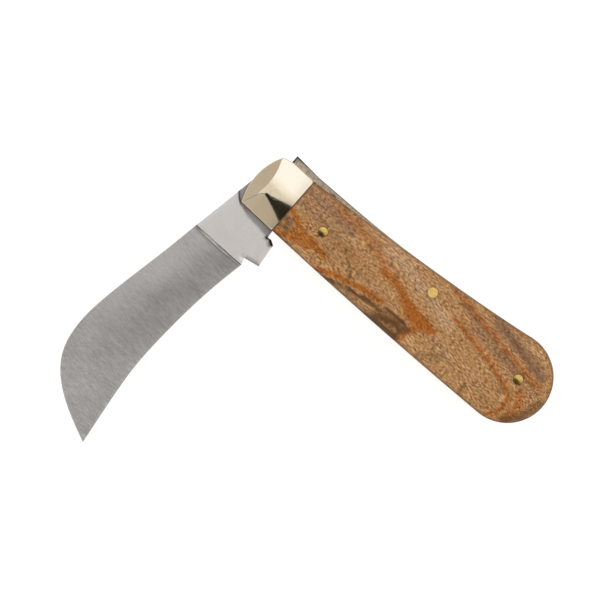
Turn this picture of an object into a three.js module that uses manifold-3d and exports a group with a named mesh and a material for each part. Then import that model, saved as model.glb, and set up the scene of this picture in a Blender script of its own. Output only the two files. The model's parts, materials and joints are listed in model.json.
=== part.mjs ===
// A hawkbill grafting and pruning knife: a slip-joint folding knife with one curved blade, a back spring,
// brass liners, nickel silver bolsters and wooden scales held by brass pins. It is shown half open.
//
// Frame, in millimetres: the knife lies flat on its pile side, on the plane z = 0. The blade's pivot axis is
// the z axis. +X runs along the handle to the butt, and +Y points to the back, where the spring is.
import * as THREE from 'three';
import * as BufferGeometryUtils from 'three/addons/utils/BufferGeometryUtils.js';
import Module from 'manifold-3d';

const wasm = await Module();
wasm.setup();

// Driving dimensions ----------------------------------------------------------------------------------

// The stack through the handle, counted outwards from the middle plane of the blade.
const slotWidth = 3.0;
const linerThickness = 1.0;
const sideThickness = 4.2;
const linerBase = slotWidth / 2;
const sideBase = linerBase + linerThickness;
const handleHalf = sideBase + sideThickness;

// The handle's outline.
const frontArc = { x: 10.65, y: -0.41, radius: 18.72 };
const bellyCorner = new THREE.Vector2(-6.34, -8.32);
const bellyMid = [new THREE.Vector2(24, -10.45), new THREE.Vector2(55, -11.5)];
const butt = { x: 86.6, y: 1.85, radius: 13.62 };
const buttBackAngle = THREE.MathUtils.degToRad(96);
const backWaist = new THREE.Vector2(6.37, 9.8);
const backMid = [new THREE.Vector2(60, 12.15), new THREE.Vector2(30, 11.1)];
const bolsterBack = new THREE.Vector2(-1.92, 10.24);
const bolsterApex = new THREE.Vector2(-5.16, 9.59);

// The outer edges of the scales and bolsters are rounded by a quarter ellipse.
const edgeRound = 3.0;
const edgeDrop = 2.4;

// The joint between bolster and scale, and the bevelled front of the bolster.
const jointX = 6.1;
const jointLean = THREE.MathUtils.degToRad(1.6);
const jointGap = 0.08;
const facetX = -3.6;
const facetAngle = THREE.MathUtils.degToRad(31);

// Pins. Each hole is a little wider than what goes in it.
const pinRadius = 1.55;
const pivotRadius = 1.9;
const rivetRadius = 0.9;
const rivetDepth = 2.6;
const holeGap = 0.03;
const pivotGap = 0.08;
const scalePinAt = new THREE.Vector2(17.7, 0.05);
const middlePinAt = new THREE.Vector2(53.9, 6.93);
const buttPinAt = new THREE.Vector2(89.47, 3.19);
const rivetsAt = { upper: new THREE.Vector2(2.6, 6.6), lower: new THREE.Vector2(2.6, -6.2) };

// The tang: a round cam with two flats. The spring's nose lies on one flat when the knife is open and on the
// other when it is shut.
const tangHalf = 1.35;
const camRadius = 7.75;
const flatDistance = 5.6;
const closedTurn = THREE.MathUtils.degToRad(162.3);
const restTurn = THREE.MathUtils.degToRad(75.3);
const shoulderX = -2.6;
const spineHeight = 7.5;
const tangNotchAlong = 11.8;

// The blade, open, with its point towards -X and its spine towards +Y.
const plungeTop = new THREE.Vector2(-24.38, 6.42);
const heel = new THREE.Vector2(-20.48, -10.98);
const bladeTip = new THREE.Vector2(-88.88, -26.14);
const spineBreak = new THREE.Vector2(-67.81, 3.52);
const edgeBreak = new THREE.Vector2(-49.32, -13.98);
const notchCorner = new THREE.Vector2(-18.74, -9.84);
const kickFront = new THREE.Vector2(-16.74, -14.38);
const kickBack = new THREE.Vector2(-9.64, -11.83);
const spineHalf = 1.25;
const tipHalf = 0.6;
const cuttingHalf = 0.12;
const tipWidth = 0.25;
const grindOverlap = 0.4;

// The back spring, first drawn lying flush, then bent up to where the cam holds its nose.
const springHalf = 1.48;
const noseX = -2.45;
const noseUnderside = 5.66;
const padEnd = 11.3;
const reliefUnderside = 8.8;
const bossUnderside = 3.3;
const tailUnderside = -0.6;
const springLift = THREE.MathUtils.degToRad(2.34);
const bendStart = 49;
const bendEnd = 1.2;

const curveSteps = 14;
const frontSteps = 8;

// Materials -------------------------------------------------------------------------------------------

function material(color, roughness, metalness) {
  return new THREE.MeshStandardMaterial({ color, roughness, metalness });
}

const groundSteel = material(0xa09b96, 0.4, 1);
const springSteel = material(0xaaa096, 0.45, 1);
const nickelSilver = material(0xe6d8bc, 0.18, 1);
const brass = material(0xe0c060, 0.25, 1);
const wood = material(0xa57850, 0.6, 0);

// Solids: joining and cutting ----------------------------------------------------------------------------

function toSolid(geometry) {
  const bare = geometry.clone();
  bare.deleteAttribute('normal');
  bare.deleteAttribute('uv');
  const merged = BufferGeometryUtils.mergeVertices(bare, 1e-4);
  return new wasm.Manifold(new wasm.Mesh({
    numProp: 3,
    vertProperties: new Float32Array(merged.attributes.position.array),
    triVerts: new Uint32Array(merged.index.array),
  }));
}

function toGeometry(solid) {
  const mesh = solid.getMesh();
  const geometry = new THREE.BufferGeometry();
  geometry.setAttribute('position', new THREE.BufferAttribute(new Float32Array(mesh.vertProperties), 3));
  geometry.setIndex(new THREE.BufferAttribute(new Uint32Array(mesh.triVerts), 1));
  geometry.computeVertexNormals();
  return geometry;
}

// The same geometry on the other side of the middle plane, with its faces turned to point out again.
function mirrored(geometry) {
  const copy = geometry.clone().scale(1, 1, -1);
  const index = copy.index.array;
  for (let i = 0; i < index.length; i += 3) {
    [index[i], index[i + 1]] = [index[i + 1], index[i]];
  }
  copy.computeVertexNormals();
  return copy;
}

// The outline as straight steps, without the doubled points where two of its curves meet.
function stepped(shape) {
  const points = shape.getPoints(curveSteps);
  const distinct = points.filter((point, i) => point.distanceTo(points[(i + 1) % points.length]) > 0.01);
  return new THREE.Shape(distinct);
}

function plate(shape, base, thickness) {
  const geometry = new THREE.ExtrudeGeometry(stepped(shape), { depth: thickness, bevelEnabled: false });
  return geometry.translate(0, 0, base);
}

function rod(at, radius, base, top, sides = 32) {
  const geometry = new THREE.CylinderGeometry(radius, radius, top - base, sides);
  return geometry.rotateX(Math.PI / 2).translate(at.x, at.y, (base + top) / 2);
}

function drill(solid, at, radius) {
  return solid.subtract(toSolid(rod(at, radius, -handleHalf - 1, handleHalf + 1)));
}

// Outlines ------------------------------------------------------------------------------------------------

function handleOutline() {
  const shape = new THREE.Shape();
  shape.moveTo(bellyCorner.x, bellyCorner.y);
  shape.bezierCurveTo(bellyMid[0].x, bellyMid[0].y, bellyMid[1].x, bellyMid[1].y, butt.x, butt.y - butt.radius);
  shape.absarc(butt.x, butt.y, butt.radius, -Math.PI / 2, buttBackAngle, false);
  shape.bezierCurveTo(backMid[0].x, backMid[0].y, backMid[1].x, backMid[1].y, backWaist.x, backWaist.y);
  shape.lineTo(bolsterBack.x, bolsterBack.y);
  shape.lineTo(bolsterApex.x, bolsterApex.y);
  const start = Math.atan2(bolsterApex.y - frontArc.y, bolsterApex.x - frontArc.x);
  const end = Math.atan2(bellyCorner.y - frontArc.y, bellyCorner.x - frontArc.x) + 2 * Math.PI;
  for (let i = 1; i < frontSteps; i += 1) {
    const angle = THREE.MathUtils.lerp(start, end, i / frontSteps);
    shape.lineTo(frontArc.x + frontArc.radius * Math.cos(angle), frontArc.y + frontArc.radius * Math.sin(angle));
  }
  shape.closePath();
  return shape;
}

// The handle's back edge from the butt to the waist, and on along the bolster to the spring's nose.
function flushSpringOutline() {
  const tailAngle = Math.asin((tailUnderside - butt.y) / butt.radius);
  const shape = new THREE.Shape();
  shape.moveTo(butt.x + butt.radius * Math.cos(tailAngle), tailUnderside);
  shape.absarc(butt.x, butt.y, butt.radius, tailAngle, buttBackAngle, false);
  shape.bezierCurveTo(backMid[0].x, backMid[0].y, backMid[1].x, backMid[1].y, backWaist.x, backWaist.y);
  shape.lineTo(bolsterBack.x, bolsterBack.y);
  shape.lineTo(noseX, bolsterBack.y);
  shape.lineTo(noseX, noseUnderside);
  shape.lineTo(padEnd - 0.5, noseUnderside);
  shape.bezierCurveTo(padEnd, noseUnderside, padEnd, reliefUnderside, padEnd + 1.4, reliefUnderside);
  shape.bezierCurveTo(28, reliefUnderside + 0.1, 38, reliefUnderside - 0.4, 43, 7.4);
  shape.bezierCurveTo(48, 6.4, 49, bossUnderside, 54, bossUnderside);
  shape.bezierCurveTo(61, bossUnderside, 76, 5.2, 83, 1.4);
  shape.bezierCurveTo(85, 0.2, 86, tailUnderside, 89, tailUnderside);
  shape.closePath();
  return shape;
}

// How far the spring's nose is turned up about the middle pin, from 0 behind the bend to 1 at the nose.
function bendShare(x) {
  return THREE.MathUtils.smoothstep(bendStart - x, 0, bendStart - bendEnd);
}

function raisedSpringOutline() {
  const raised = [];
  const outline = flushSpringOutline().getPoints(curveSteps);
  for (let i = 0; i < outline.length; i += 1) {
    const from = outline[i];
    const to = outline[(i + 1) % outline.length];
    const steps = Math.max(1, Math.ceil(from.distanceTo(to) / 3));
    for (let step = 0; step < steps; step += 1) {
      const point = from.clone().lerp(to, step / steps);
      raised.push(point.rotateAround(middlePinAt, -springLift * bendShare(point.x)));
    }
  }
  return new THREE.Shape(raised);
}

// The tang and ricasso, drawn with the blade open.
function tangOutline() {
  const flatHalfAngle = Math.acos(flatDistance / camRadius);
  const closedNormal = Math.PI / 2 - closedTurn;
  const notch = new THREE.Vector2(flatDistance, -tangNotchAlong).rotateAround(new THREE.Vector2(), closedNormal);
  const shape = new THREE.Shape();
  shape.moveTo(shoulderX, flatDistance);
  shape.lineTo(shoulderX, spineHeight);
  shape.lineTo(plungeTop.x, plungeTop.y);
  shape.lineTo(heel.x, heel.y);
  shape.lineTo(notchCorner.x, notchCorner.y);
  shape.lineTo(kickFront.x, kickFront.y);
  shape.lineTo(kickBack.x, kickBack.y);
  shape.lineTo(notch.x, notch.y);
  shape.absarc(0, 0, camRadius, closedNormal + flatHalfAngle, Math.PI / 2 - flatHalfAngle, false);
  shape.closePath();
  return shape;
}

// Blade ---------------------------------------------------------------------------------------------------

function curvePoints(start, startPull, middlePull, middle, endPull, tipPull, end) {
  const first = new THREE.CubicBezierCurve(start, startPull, middlePull, middle);
  const second = new THREE.CubicBezierCurve(middle, endPull, tipPull, end);
  return [...first.getSpacedPoints(curveSteps), ...second.getSpacedPoints(curveSteps).slice(1)];
}

// The ground part of the blade: a wedge from the spine to the edge, as rings of four corners.
function groundBlade() {
  const tipSpine = bladeTip.clone().add(new THREE.Vector2(0, tipWidth));
  const spine = curvePoints(plungeTop, new THREE.Vector2(-41.57, 4.95), new THREE.Vector2(-58.29, 5.75),
    spineBreak, new THREE.Vector2(-79.71, 0.73), new THREE.Vector2(-85.65, -5.16), tipSpine);
  const edge = curvePoints(heel, new THREE.Vector2(-31.99, -11.28), new THREE.Vector2(-40.39, -12.41),
    edgeBreak, new THREE.Vector2(-64.45, -16.64), new THREE.Vector2(-66.67, -17.65), bladeTip);
  const inset = new THREE.Vector2(grindOverlap, 0);
  spine[0].add(inset);
  edge[0].add(inset);
  const corners = [];
  const triangles = [];
  spine.forEach((top, i) => {
    const half = THREE.MathUtils.lerp(spineHalf, tipHalf, i / (spine.length - 1));
    const low = edge[i];
    corners.push(top.x, top.y, half, top.x, top.y, -half, low.x, low.y, -cuttingHalf, low.x, low.y, cuttingHalf);
    if (i === 0) return;
    const now = 4 * i;
    const before = now - 4;
    for (let side = 0; side < 4; side += 1) {
      const next = (side + 1) % 4;
      triangles.push(before + side, before + next, now + next, before + side, now + next, now + side);
    }
  });
  const last = corners.length / 3 - 4;
  triangles.push(0, 2, 1, 0, 3, 2, last, last + 1, last + 2, last, last + 2, last + 3);
  const geometry = new THREE.BufferGeometry();
  geometry.setAttribute('position', new THREE.Float32BufferAttribute(corners, 3));
  geometry.setIndex(triangles);
  return geometry;
}

function blade() {
  const tang = toSolid(plate(tangOutline(), -tangHalf, 2 * tangHalf));
  const whole = tang.add(toSolid(groundBlade()));
  const drilled = drill(whole, new THREE.Vector2(), pivotRadius + pivotGap);
  const mesh = new THREE.Mesh(toGeometry(drilled), groundSteel);
  mesh.name = 'blade';
  mesh.rotation.z = restTurn;
  return mesh;
}

// Back spring and pins ---------------------------------------------------------------------------------------

function backSpring() {
  let spring = toSolid(plate(raisedSpringOutline(), -springHalf, 2 * springHalf));
  spring = drill(spring, middlePinAt, pinRadius + holeGap);
  spring = drill(spring, buttPinAt, pinRadius + holeGap);
  const mesh = new THREE.Mesh(toGeometry(spring), springSteel);
  mesh.name = 'back_spring';
  return mesh;
}

function throughPin(name, at, radius, metal) {
  const mesh = new THREE.Mesh(rod(at, radius, -handleHalf, handleHalf), metal);
  mesh.name = name;
  return mesh;
}

// One side of the handle: liner, bolster, scale and their short pins ------------------------------------------

// Everything in front of the joint between bolster and scale, moved back by a gap.
function frontOfJoint(gap) {
  const size = 80;
  const box = new THREE.BoxGeometry(size, size, size);
  box.translate(-size / 2 + gap, 0, 0).rotateZ(-jointLean).translate(jointX, 0, 0);
  return toSolid(box);
}

function sideBlank() {
  const geometry = new THREE.ExtrudeGeometry(stepped(handleOutline()), {
    depth: sideThickness - edgeDrop,
    bevelEnabled: true,
    bevelThickness: edgeDrop,
    bevelSize: edgeRound,
    bevelOffset: -edgeRound,
    bevelSegments: 6,
  });
  const below = new THREE.BoxGeometry(400, 400, 20).translate(0, 0, -10);
  const blank = toSolid(geometry).subtract(toSolid(below));
  return blank.translate(0, 0, sideBase);
}

function linerGeometry() {
  let liner = toSolid(plate(handleOutline(), linerBase, linerThickness));
  liner = drill(liner, new THREE.Vector2(), pivotRadius + holeGap);
  for (const at of [scalePinAt, middlePinAt, buttPinAt]) {
    liner = drill(liner, at, pinRadius + holeGap);
  }
  for (const at of Object.values(rivetsAt)) {
    liner = drill(liner, at, rivetRadius + holeGap);
  }
  return toGeometry(liner);
}

function bolsterGeometry() {
  let bolster = sideBlank().intersect(frontOfJoint(-jointGap));
  const facet = new THREE.BoxGeometry(60, 60, 30).translate(-30, 0, 15);
  facet.rotateY(-facetAngle).translate(facetX, 0, handleHalf);
  bolster = bolster.subtract(toSolid(facet));
  bolster = drill(bolster, new THREE.Vector2(), pivotRadius + holeGap);
  for (const at of Object.values(rivetsAt)) {
    const hole = rod(at, rivetRadius + holeGap, sideBase - 1, sideBase + rivetDepth + holeGap);
    bolster = bolster.subtract(toSolid(hole));
  }
  return toGeometry(bolster);
}

function scaleGeometry() {
  let scale = sideBlank().subtract(frontOfJoint(0));
  for (const at of [scalePinAt, middlePinAt, buttPinAt]) {
    scale = drill(scale, at, pinRadius + holeGap);
  }
  return toGeometry(scale);
}

function handleSide(side, place) {
  const pieces = [
    ['liner', linerGeometry(), brass],
    ['bolster', bolsterGeometry(), nickelSilver],
    ['scale', scaleGeometry(), wood],
    ['scale_pin', rod(scalePinAt, pinRadius, linerBase, handleHalf), brass],
  ];
  for (const [which, at] of Object.entries(rivetsAt)) {
    pieces.push([`bolster_rivet_${which}`, rod(at, rivetRadius, linerBase, sideBase + rivetDepth, 16), nickelSilver]);
  }
  return pieces.map(([name, geometry, metal]) => {
    const mesh = new THREE.Mesh(place(geometry), metal);
    mesh.name = `${side}_${name}`;
    return mesh;
  });
}

// The knife ---------------------------------------------------------------------------------------------------

const knife = new THREE.Group();
knife.position.z = handleHalf;
knife.add(blade(), backSpring());
knife.add(throughPin('pivot_pin', new THREE.Vector2(), pivotRadius, nickelSilver));
knife.add(throughPin('middle_pin', middlePinAt, pinRadius, brass));
knife.add(throughPin('butt_pin', buttPinAt, pinRadius, brass));
knife.add(...handleSide('mark_side', (geometry) => geometry));
knife.add(...handleSide('pile_side', mirrored));

export default knife;
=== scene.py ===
import json
import math

import bmesh
import bpy
import numpy as np
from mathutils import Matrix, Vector
from mathutils.geometry import delaunay_2d_cdt


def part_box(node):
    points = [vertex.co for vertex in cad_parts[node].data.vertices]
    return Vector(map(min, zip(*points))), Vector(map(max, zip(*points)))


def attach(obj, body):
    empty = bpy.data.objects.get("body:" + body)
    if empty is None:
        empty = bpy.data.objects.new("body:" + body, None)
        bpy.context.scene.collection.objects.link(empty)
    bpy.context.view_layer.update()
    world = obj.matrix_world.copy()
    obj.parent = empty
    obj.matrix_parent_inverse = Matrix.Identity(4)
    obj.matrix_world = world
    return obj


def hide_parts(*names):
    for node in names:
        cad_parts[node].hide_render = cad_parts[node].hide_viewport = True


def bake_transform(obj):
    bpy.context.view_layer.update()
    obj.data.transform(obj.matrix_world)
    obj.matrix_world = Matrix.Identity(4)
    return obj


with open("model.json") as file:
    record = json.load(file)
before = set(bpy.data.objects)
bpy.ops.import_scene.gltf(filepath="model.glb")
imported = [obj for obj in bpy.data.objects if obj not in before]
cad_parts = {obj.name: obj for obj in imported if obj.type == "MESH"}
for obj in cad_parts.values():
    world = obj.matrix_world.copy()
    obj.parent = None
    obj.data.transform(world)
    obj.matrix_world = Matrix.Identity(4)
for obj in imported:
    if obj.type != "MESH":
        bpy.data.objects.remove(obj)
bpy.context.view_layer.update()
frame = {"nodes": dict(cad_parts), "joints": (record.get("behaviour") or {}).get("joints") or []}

MM = 0.001
joints = {joint["name"]: joint for joint in frame["joints"]}


def level(node, corner):
    """The lowest (0) or highest (1) z of a CAD node, in millimetres."""
    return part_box(node)[corner].z / MM


def middle(node):
    """Where a pin's axis crosses the row's XY plane, in millimetres."""
    low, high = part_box(node)
    return np.array([(low.x + high.x) / 2, (low.y + high.y) / 2]) / MM


# Driving dimensions

TOP = level("mark_side_scale", 1)
MID = TOP / 2
LINER_BASE = level("mark_side_liner", 0) - MID
SIDE_BASE = level("mark_side_scale", 0) - MID
SIDE_TOP = TOP - MID

FRONT_ARC = (10.65, -0.41, 18.70)
BELLY = [(-6.34, -8.32), (24, -10.45), (55, -11.5), (86.6, -11.76)]
BUTT_ARC = (86.6, 1.85, 13.61)
BUTT_BACK_ANGLE = math.radians(96)
BACK_PULLS = [(60, 12.15), (30, 11.1)]
BACK_WAIST = (6.37, 9.8)
BOLSTER_BACK = (-1.92, 10.24)
BOLSTER_APEX = (-5.16, 9.59)
JOINT_X = 6.1
JOINT_LEAN = math.radians(1.6)
JOINT_GAP = 0.13

CROWN_WIDTH = 9.4
CROWN_DROP = 2.0
FACET_SLOPE = 0.78
BELLY_SLOPE = 0.27
FOLD_APEX = (-2.4, -1.9)
FOLD_SLOPE_AHEAD = 0.94
FOLD_SLOPE_BEHIND = 0.09
FOLD_ROUNDING = 0.118
RIDGE_POINTS = [(-6.5, -8.9), (-5.35, -6.2), (-4.25, -3.8), (-3.9, -2.0), (-3.65, 0.2), (-3.62, 2.2),
                (-3.85, 4.4), (-4.3, 6.5), (-4.85, 8.2), (-5.25, 10.0)]
RIDGE_ROUNDING = 0.07

# Radii of the rounded edges. The wood's grows from its front end by ROUND_GROWTH over ROUND_RUN.
WOOD_FRONT_ROUND = 0.3
ROUND_GROWTH = 0.8
ROUND_RUN = 9
BOLSTER_ROUND = 0.18
LINER_ROUND = 0.06
SPRING_ROUND = 0.12
RICASSO_ROUND = 0.14
PIN_ROUND = 0.02

# The longest step along an outline, and the depths of the rows of points that follow its rounded edge.
LONGEST_STEP = 0.6
WOOD_ROWS = [0.07, 0.16, 0.28, 0.45, 0.7, 1.0]
BOLSTER_ROWS = [0.05, 0.11, 0.18, 0.3, 0.5, 0.8]
SPRING_ROWS = [0.05, 0.12, 0.25, 0.45, 0.75, 1.1]
RICASSO_ROWS = [0.05, 0.1, 0.16]

REST_TURN = math.radians(joints["blade_pivot"]["range_deg"][1])
CLOSED_TURN = REST_TURN - math.radians(joints["blade_pivot"]["range_deg"][0])
CAM_RADIUS = 7.75
FLAT_DISTANCE = 5.6
SHOULDER_X = -2.6
SPINE_HEIGHT = 7.48
NOTCH_ALONG = 11.8
PLUNGE_TOP = (-24.35, 6.4)
HEEL = (-20.45, -10.96)
SPINE_CURVES = [[PLUNGE_TOP, (-41.54, 4.94), (-58.26, 5.73), (-67.78, 3.5)],
                [(-67.78, 3.5), (-79.68, 0.71), (-85.45, -5.18), (-88.85, -25.87)]]
EDGE_CURVES = [[HEEL, (-31.97, -11.27), (-40.37, -12.4), (-49.3, -13.97)],
               [(-49.3, -13.97), (-64.43, -16.63), (-66.65, -17.64), (-88.85, -26.12)]]
KICK = [(-18.72, -9.84), (-16.72, -14.36), (-9.63, -11.81), (-9.1, -10.1)]
TANG_STEP = [(-9.4, -9.6), (-10.0, -7.6), (-10.4, -4.1), (-10.75, -1.0), (-10.6, 1.6), (-10.2, 3.9),
             (-9.4, 5.8), (-8.3, 7.3)]
TANG_STEP_RUN = 0.7
TANG_STEP_DROP = 0.05
TANG_HALF = (level("blade", 1) - level("blade", 0)) / 2
BLADE_STEPS = 110
BEVEL_WIDTH = 0.4
CHAMFER_WIDTH = 0.28
CHAMFER_DROP = 0.22
EDGE_HALF = 0.03
BEVEL_HALF = 0.13
SPINE_HALF = 1.25
POINT_THINNING = 0.3
GRIND_SLOPE = 0.062
PLUNGE_RUN = 0.5
GRINDING_TURN = math.radians(9.2)
# Painted shade on the tang: a painted shadow in the corner by the kick, a painted contact shadow where the
# tang comes out of the handle, their widths and how dark they are
SHADOWED_CORNER = [(-9.7, -11.3), (-9.4, -10.2), (-9.0, -9.6), (-9.7, -8.8)]
CORNER_WIDTH = 0.75
HANDLE_LINE_WIDTH = 0.3
TANG_SHADE_DEPTH = 0.97

SPRING_HALF = (level("back_spring", 1) - level("back_spring", 0)) / 2
SPRING_LIFT = -math.radians(joints["back_spring_flex"]["range_deg"][0])
BEND_START = 49.0
BEND_END = 1.2
NOSE_X = -2.45
NOSE_UNDERSIDE = 5.66
PAD_END = 11.3
RELIEF_UNDERSIDE = 8.8
BOSS_UNDERSIDE = 3.3
TAIL_UNDERSIDE = -0.6

SCALE_PIN = middle("mark_side_scale_pin")
MIDDLE_PIN = middle("middle_pin")
BUTT_PIN = middle("butt_pin")
PIVOT = np.zeros(2)
PINS = (SCALE_PIN, MIDDLE_PIN, BUTT_PIN)
PIN_RADIUS = (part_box("middle_pin")[1].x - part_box("middle_pin")[0].x) / 2 / MM
PIVOT_RADIUS = (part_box("pivot_pin")[1].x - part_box("pivot_pin")[0].x) / 2 / MM
PIN_PLAY = 0.03
PIN_DOME = 0.22
DOME_POWER = 1.2


# Curves and outlines

def bezier(pulls, steps):
    """Points along a cubic curve, without its last one."""
    t = np.linspace(0, 1, steps, endpoint=False)[:, None]
    a, b, c, d = (np.array(p, float) for p in pulls)
    return (1 - t) ** 3 * a + 3 * (1 - t) ** 2 * t * b + 3 * (1 - t) * t ** 2 * c + t ** 3 * d


def arc(circle, start, end, steps):
    """Points along an arc, without its last one."""
    angle = np.linspace(start, end, steps, endpoint=False)
    return np.stack([circle[0] + circle[2] * np.cos(angle), circle[1] + circle[2] * np.sin(angle)], 1)


def straight(start, end, steps):
    """Points along a straight line, without its last one."""
    t = np.linspace(0, 1, steps, endpoint=False)[:, None]
    return np.array(start, float) * (1 - t) + np.array(end, float) * t


def turned(points, angle, centre=(0.0, 0.0)):
    """Points turned about a centre by one angle, or each by its own."""
    c, s = np.cos(angle), np.sin(angle)
    p = np.asarray(points, float) - centre
    return np.stack([p[:, 0] * c - p[:, 1] * s, p[:, 0] * s + p[:, 1] * c], 1) + centre


def handle_back(steps):
    """The handle's back edge, from the butt to the bolster."""
    x, y, radius = BUTT_ARC
    start = (x + radius * math.cos(BUTT_BACK_ANGLE), y + radius * math.sin(BUTT_BACK_ANGLE))
    return bezier([start, *BACK_PULLS, BACK_WAIST], steps)


def handle_loop():
    """The handle's outline, from the bolster's belly round the butt to its front."""
    def angle_of(p):
        return math.atan2(p[1] - FRONT_ARC[1], p[0] - FRONT_ARC[0]) % (2 * math.pi)
    return np.concatenate([
        bezier(BELLY, 160),
        arc(BUTT_ARC, -math.pi / 2, BUTT_BACK_ANGLE, 72),
        handle_back(140),
        straight(BACK_WAIST, BOLSTER_BACK, 14),
        straight(BOLSTER_BACK, BOLSTER_APEX, 6),
        arc(FRONT_ARC, angle_of(BOLSTER_APEX), angle_of(BELLY[0]), 34),
    ])


def smooth_line(points, steps):
    """A smooth line through a few points."""
    p = np.array(points, float)
    slopes = np.gradient(p, axis=0)
    rows = [bezier([a, a + m / 3, b - k / 3, b], steps) for a, b, m, k in zip(p, p[1:], slopes, slopes[1:])]
    return np.concatenate(rows + [p[-1:]])


RIDGE = smooth_line(RIDGE_POINTS, 12)


def clip(loop, side):
    """The part of the loop behind (+1) or in front of (-1) the joint between bolster and scale."""
    gap = JOINT_GAP if side < 0 else 0.0
    across = np.array([math.cos(JOINT_LEAN), -math.sin(JOINT_LEAN)])
    signed = side * ((loop - (JOINT_X, 0)) @ across) - gap
    kept = []
    for a, b, at_a, at_b in zip(loop, np.roll(loop, -1, 0), signed, np.roll(signed, -1)):
        if at_a > 0:
            kept.append(a)
        if at_a * at_b < 0:
            t = at_a / (at_a - at_b)
            kept.append(a * (1 - t) + b * t)
    return fill_gaps(np.array(kept), LONGEST_STEP)


def fill_gaps(loop, longest):
    """The same loop with its long steps split."""
    ahead = np.roll(loop, -1, 0)
    counts = np.ceil(np.maximum(np.linalg.norm(ahead - loop, axis=1) / longest, 1)).astype(int)
    return np.concatenate([straight(a, b, count) for a, b, count in zip(loop, ahead, counts)])


def distance(points, line, closed=False):
    """How far each point is from a line of straight steps."""
    a = np.asarray(line, float)
    b = np.roll(a, -1, 0) if closed else a[1:]
    a = a if closed else a[:-1]
    step = b - a
    length = np.maximum((step ** 2).sum(1), 1e-12)
    best = np.full(len(points), 1e9)
    for start in range(0, len(points), 2000):
        p = np.asarray(points[start:start + 2000], float)[:, None]
        t = np.clip(((p - a) * step).sum(2) / length, 0, 1)
        near = np.linalg.norm(p - (a + t[..., None] * step), axis=2)
        best[start:start + 2000] = near.min(1)
    return best


def inside(points, loop):
    """Whether each point is within the loop."""
    x, y = points[:, 0][:, None], points[:, 1][:, None]
    a, b = loop, np.roll(loop, -1, 0)
    crosses = (a[:, 1] > y) != (b[:, 1] > y)
    rise = np.where(np.abs(b[:, 1] - a[:, 1]) < 1e-12, 1e-12, b[:, 1] - a[:, 1])
    hit = x < (b[:, 0] - a[:, 0]) * (y - a[:, 1]) / rise + a[:, 0]
    return (crosses & hit).sum(1) % 2 == 1


def trimmed(rows, loop, gap):
    """Only those points of the rows that are inside the loop and farther than a gap from it."""
    rows = [row[inside(row, loop)] for row in rows]
    return [row[distance(row, loop, True) > gap] for row in rows]


def inset_rings(loop, depths):
    """Rows of points a little way inside the loop."""
    ahead, behind = np.roll(loop, -1, 0), np.roll(loop, 1, 0)
    along = ahead - behind
    along /= np.maximum(np.linalg.norm(along, axis=1), 1e-9)[:, None]
    inward = np.stack([-along[:, 1], along[:, 0]], 1)
    return [trimmed([loop + inward * depth], loop, 0.95 * depth)[0] for depth in depths]


# Meshes

HOLE_STEPS = 40
HOLE_ROW = 0.12
HOLE_MARGIN = 0.25


def mesh_object(name, points, faces, materials, body=None, sharp=35, face_material=None):
    """A smooth-shaded mesh from points in millimetres, riding on a CAD body."""
    mesh = bpy.data.meshes.new(name)
    places = [tuple(point) for point in np.asarray(points) * MM]
    mesh.from_pydata(places, [], [tuple(int(i) for i in face) for face in faces])
    mesh.validate()
    piece = bpy.data.objects.new(name, mesh)
    bpy.context.scene.collection.objects.link(piece)
    for material in materials:
        mesh.materials.append(material)
    mesh.polygons.foreach_set("use_smooth", [True] * len(mesh.polygons))
    if face_material is not None:
        mesh.polygons.foreach_set("material_index", [int(i) for i in face_material])
    mesh.set_sharp_from_angle(angle=math.radians(sharp))
    mesh.update()
    if body:
        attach(piece, body)
    return piece


def ring(at, radius, steps, start=0):
    """Points evenly round a circle."""
    return arc((*at, radius), start, 2 * math.pi + start, steps)


def pin_holes(spots):
    """The holes that pins of one size go through, as (centre, radius)."""
    return [(at, PIN_RADIUS + PIN_PLAY) for at in spots]


def triangulate(loop, holes, rows, step, margin):
    """Points and triangles that fill a loop around round holes: rows of points near its rim, and an even
    grid from a margin inwards."""
    rings = [loop] + [ring(at, radius, HOLE_STEPS) for at, radius in holes]
    low, high = loop.min(0), loop.max(0)
    xs, ys = np.arange(low[0], high[0], step), np.arange(low[1], high[1], step)
    grid = np.array([(x + (0.5 * step if j % 2 else 0), y) for j, y in enumerate(ys) for x in xs])
    free = np.concatenate([*rows, *trimmed([grid], loop, margin)])
    for at, radius in holes:
        away = np.linalg.norm(free - at, axis=1)
        free = free[away > radius + HOLE_MARGIN]
        free = np.concatenate([free, ring(at, radius + HOLE_ROW, HOLE_STEPS, 0.05)])
    points = np.concatenate(rings + [free])
    edges, start = [], 0
    for rim in rings:
        n = len(rim)
        edges += [(start + i, start + (i + 1) % n) for i in range(n)]
        start += n
    made = delaunay_2d_cdt([Vector(p) for p in points], edges, [], 1, 1e-5)
    xy = np.array([tuple(p) for p in made[0]])
    tris = np.array([f for f in made[2] if len(f) == 3])
    centres = xy[tris].mean(1)
    keep = inside(centres, loop)
    for at, radius in holes:
        keep &= np.linalg.norm(centres - at, axis=1) > radius * 0.98
    tris = tris[keep]
    a, b = (xy[tris[:, k]] - xy[tris[:, 0]] for k in (1, 2))
    area = a[:, 0] * b[:, 1] - a[:, 1] * b[:, 0]
    tris[area < 0] = tris[area < 0][:, ::-1]
    return xy, tris[np.abs(area) > 1e-9]


def rim_edges(tris):
    """The directed edges that belong to one triangle only."""
    seen = dict.fromkeys((tri[k], tri[k - 2]) for tri in tris for k in range(3))
    return [edge for edge in seen if edge[::-1] not in seen]


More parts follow.
